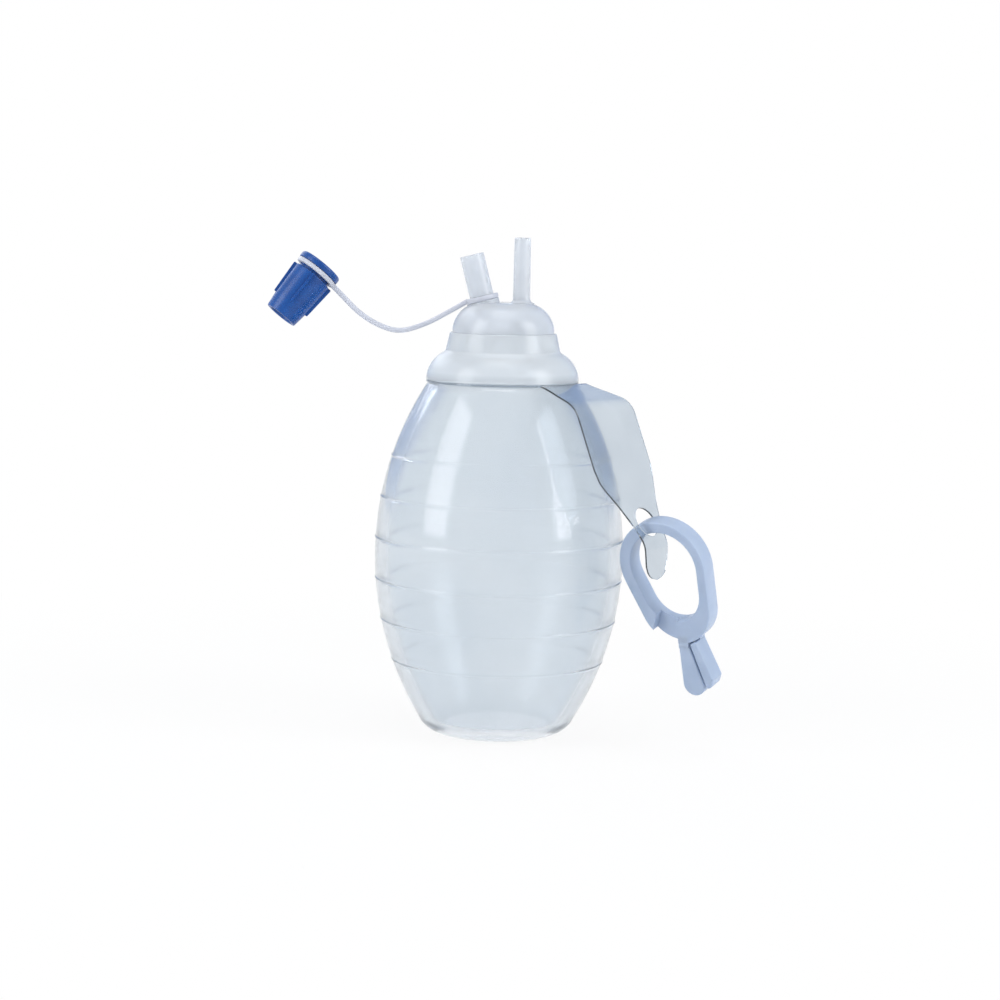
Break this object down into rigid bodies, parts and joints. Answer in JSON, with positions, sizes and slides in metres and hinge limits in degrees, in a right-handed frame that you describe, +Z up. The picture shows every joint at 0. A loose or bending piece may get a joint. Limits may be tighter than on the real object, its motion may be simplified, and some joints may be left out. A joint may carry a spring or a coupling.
{
  "type": "wound drainage bulb",
  "caption": "Clear silicone squeeze bulb for closed wound drainage, with raised graduation rings, inlet tube, leaning spout, tethered cap and a ring clip on a hanging tab.",
  "frame": {"origin": "centre of the bulb's flat base, on the plane it stands on", "axes": "+Z up along the bulb's axis, towards the ports; -Y is the front; the cap hangs out towards -X and the inlet tube stands on the +X side"},
  "size_m": [0.1222, 0.0711, 0.1337],
  "materials": {
    "bulb_silicone": "satin",
    "port_silicone": "satin",
    "valve_silicone": "matte",
    "tether_plastic": "satin",
    "cap_plastic": "gloss",
    "tab_film": "gloss",
    "clip_plastic": "satin"
  },
  "bodies": {
    "bulb": {"bulb_body": "bulb_silicone", "port_cap": "port_silicone", "inlet_check_valve": "valve_silicone", "hanging_tab": "tab_film"},
    "tether": {"cap_tether": "tether_plastic"},
    "cap": {"spout_cap": "cap_plastic"},
    "clip": {"ring_clip": "clip_plastic"}
  },
  "joints": [
    {"name": "tether_swivel", "type": "hinge", "parent": "bulb", "child": "tether", "pos_m": [-0.0056, 0, 0.1164], "axis": [-0.2521, 0, 0.9677], "range_deg": [-135, 135]},
    {"name": "cap_spin", "type": "hinge", "parent": "tether", "child": "cap", "pos_m": [-0.0488, 0.00047, 0.1254], "axis": [0.6057, 0.1908, 0.7725], "continuous": true},
    {"name": "clip_swing", "type": "hinge", "parent": "bulb", "child": "clip", "pos_m": [0.03782, -0.02798, 0.06139], "axis": [0.6817, -0.5044, 0.5299], "range_deg": [-45, 60]}
  ]
}
